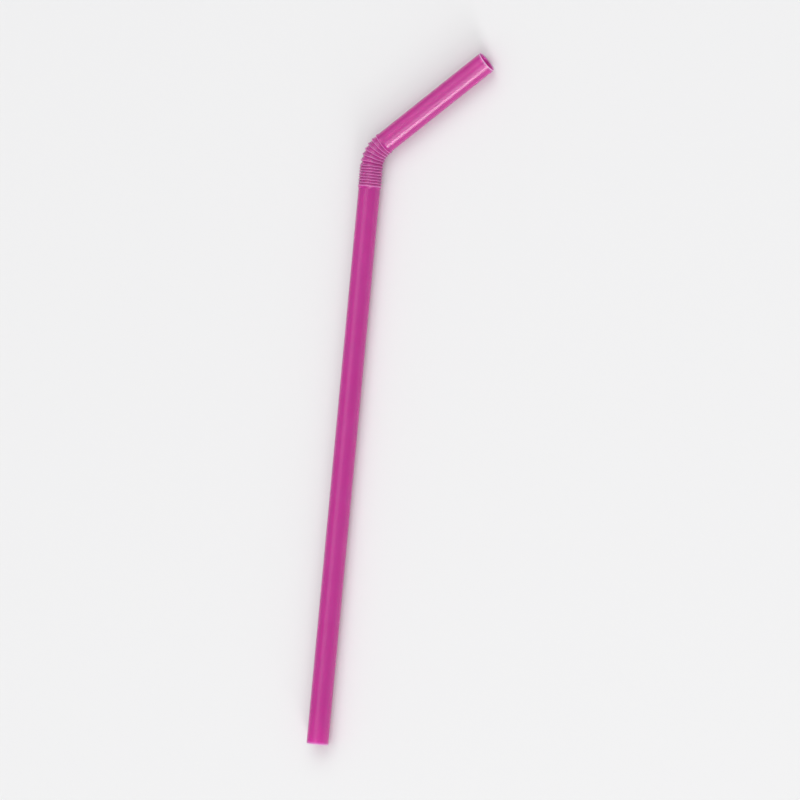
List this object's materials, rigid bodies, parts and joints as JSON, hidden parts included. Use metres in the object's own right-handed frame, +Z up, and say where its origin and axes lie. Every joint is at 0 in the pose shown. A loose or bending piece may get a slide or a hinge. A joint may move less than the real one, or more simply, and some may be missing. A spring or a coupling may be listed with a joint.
{
  "type": "flexible drinking straw",
  "caption": "Thin-walled drinking straw with a long stem, an elbow of folded pleats held at a bend, and a short open mouth limb.",
  "frame": {"origin": "on the surface that the straw lies on, under the middle of its bounding box", "axes": "+Y along the stem from the foot towards the elbow, +X to the side that the mouth limb bends to, +Z up from the surface"},
  "size_m": [0.0356, 0.1908, 0.0065],
  "materials": {
    "tinted_plastic": "see-through tinted polypropylene, glossy, magenta to violet"
  },
  "bodies": {
    "root": {"straw": "tinted_plastic"}
  },
  "joints": []
}
